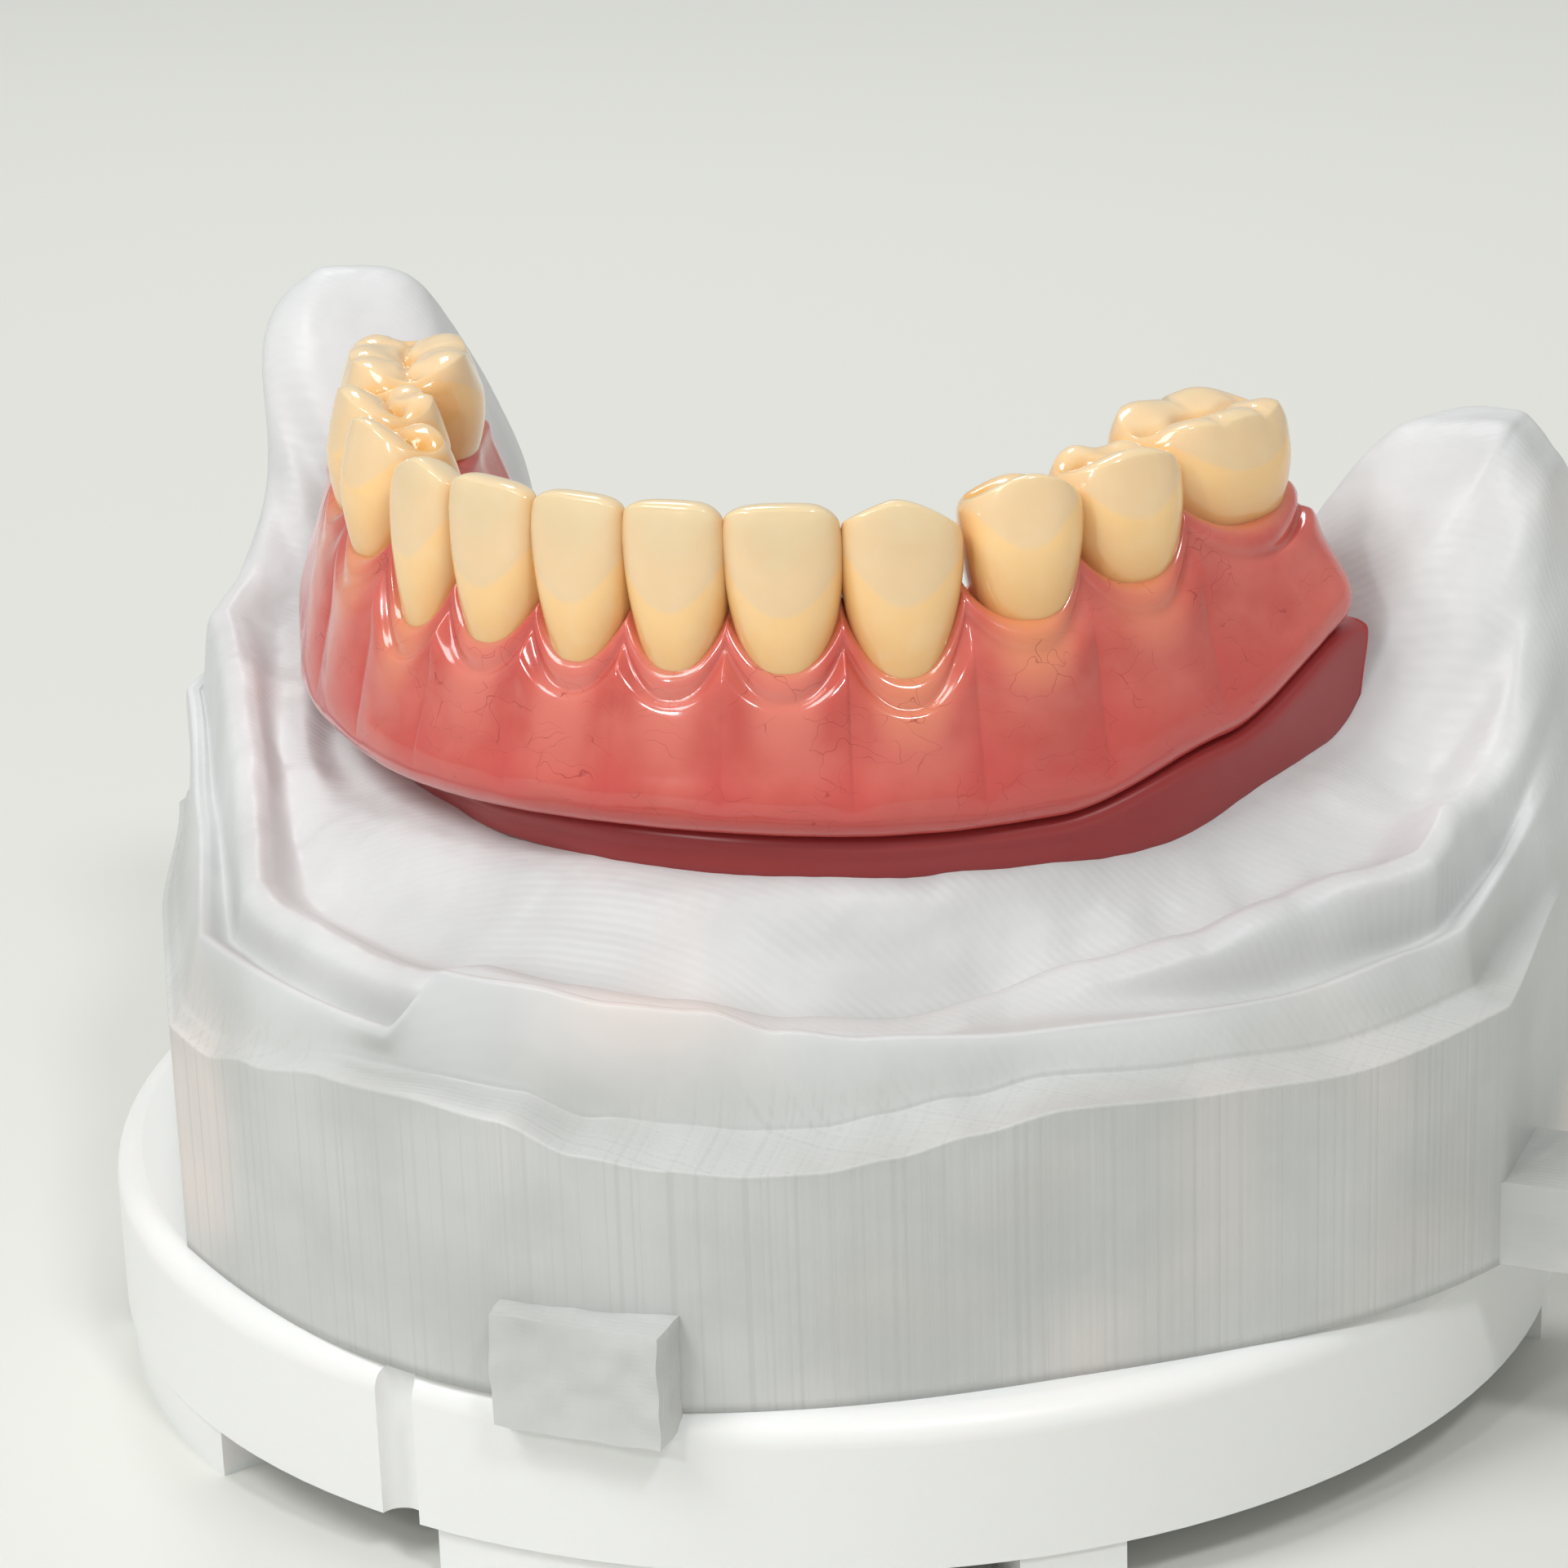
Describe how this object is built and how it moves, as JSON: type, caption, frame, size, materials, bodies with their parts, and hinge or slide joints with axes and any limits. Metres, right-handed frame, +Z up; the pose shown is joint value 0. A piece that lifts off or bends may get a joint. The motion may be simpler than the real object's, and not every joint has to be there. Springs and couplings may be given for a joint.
{
  "type": "lower implant denture on a jaw model",
  "caption": "Lower implant-carried denture with a full arch of acrylic teeth, seated on a printed horseshoe jaw model that stands on a round white mounting plate.",
  "frame": {"origin": "centre of the mounting plate, on the plane its feet stand on", "axes": "+Z up through the plate, the jaw and the denture; the front teeth face -Y; +X is the viewer's right from the front"},
  "size_m": [0.1026, 0.0912, 0.0592],
  "materials": {
    "plate_white": "smooth moulded white plastic",
    "magnet_nickel": "nickel plated magnet",
    "model_resin": "light grey printed resin, fine print lines",
    "keeper_steel": "bare steel disc",
    "mask_red": "soft dark red silicone",
    "gum_acrylic": "polished pink acrylic with fine red fibres",
    "bar_metal": "cast alloy, blasted",
    "analog_steel": "turned stainless steel",
    "abutment_metal": "gold-coloured nitride coating",
    "insert_nylon": "pink nylon",
    "housing_steel": "turned stainless steel",
    "tooth_acrylic": "layered glossy tooth acrylic, greyer at the edge, warmer at the neck"
  },
  "bodies": {
    "plate": {"mounting_plate": "plate_white", "plate_magnet": "magnet_nickel"},
    "jaw": {"printed_model": "model_resin", "keeper_disc": "keeper_steel", "implant_analog_1": "analog_steel", "implant_analog_2": "analog_steel", "implant_analog_3": "analog_steel", "implant_analog_4": "analog_steel", "abutment_1": "abutment_metal", "abutment_2": "abutment_metal", "abutment_3": "abutment_metal", "abutment_4": "abutment_metal"},
    "mask": {"gingiva_mask": "mask_red"},
    "denture": {"denture_base": "gum_acrylic", "reinforcing_bar": "bar_metal", "insert_housing_1": "housing_steel", "insert_housing_2": "housing_steel", "insert_housing_3": "housing_steel", "insert_housing_4": "housing_steel", "retention_insert_1": "insert_nylon", "retention_insert_2": "insert_nylon", "retention_insert_3": "insert_nylon", "retention_insert_4": "insert_nylon", "tooth_left_central_incisor": "tooth_acrylic", "tooth_left_lateral_incisor": "tooth_acrylic", "tooth_left_canine": "tooth_acrylic", "tooth_left_first_premolar": "tooth_acrylic", "tooth_left_second_premolar": "tooth_acrylic", "tooth_left_first_molar": "tooth_acrylic", "tooth_right_central_incisor": "tooth_acrylic", "tooth_right_lateral_incisor": "tooth_acrylic", "tooth_right_canine": "tooth_acrylic", "tooth_right_first_premolar": "tooth_acrylic", "tooth_right_second_premolar": "tooth_acrylic", "tooth_right_first_molar": "tooth_acrylic"}
  },
  "joints": [
    {"name": "model_lift", "type": "slide", "parent": "plate", "child": "jaw", "axis": [0, 0, 1], "range_m": [0, 0.025]},
    {"name": "mask_lift", "type": "slide", "parent": "jaw", "child": "mask", "axis": [0, 0, 1], "range_m": [0, 0.02]},
    {"name": "denture_lift", "type": "slide", "parent": "mask", "child": "denture", "axis": [0, 0, 1], "range_m": [0, 0.03]}
  ]
}
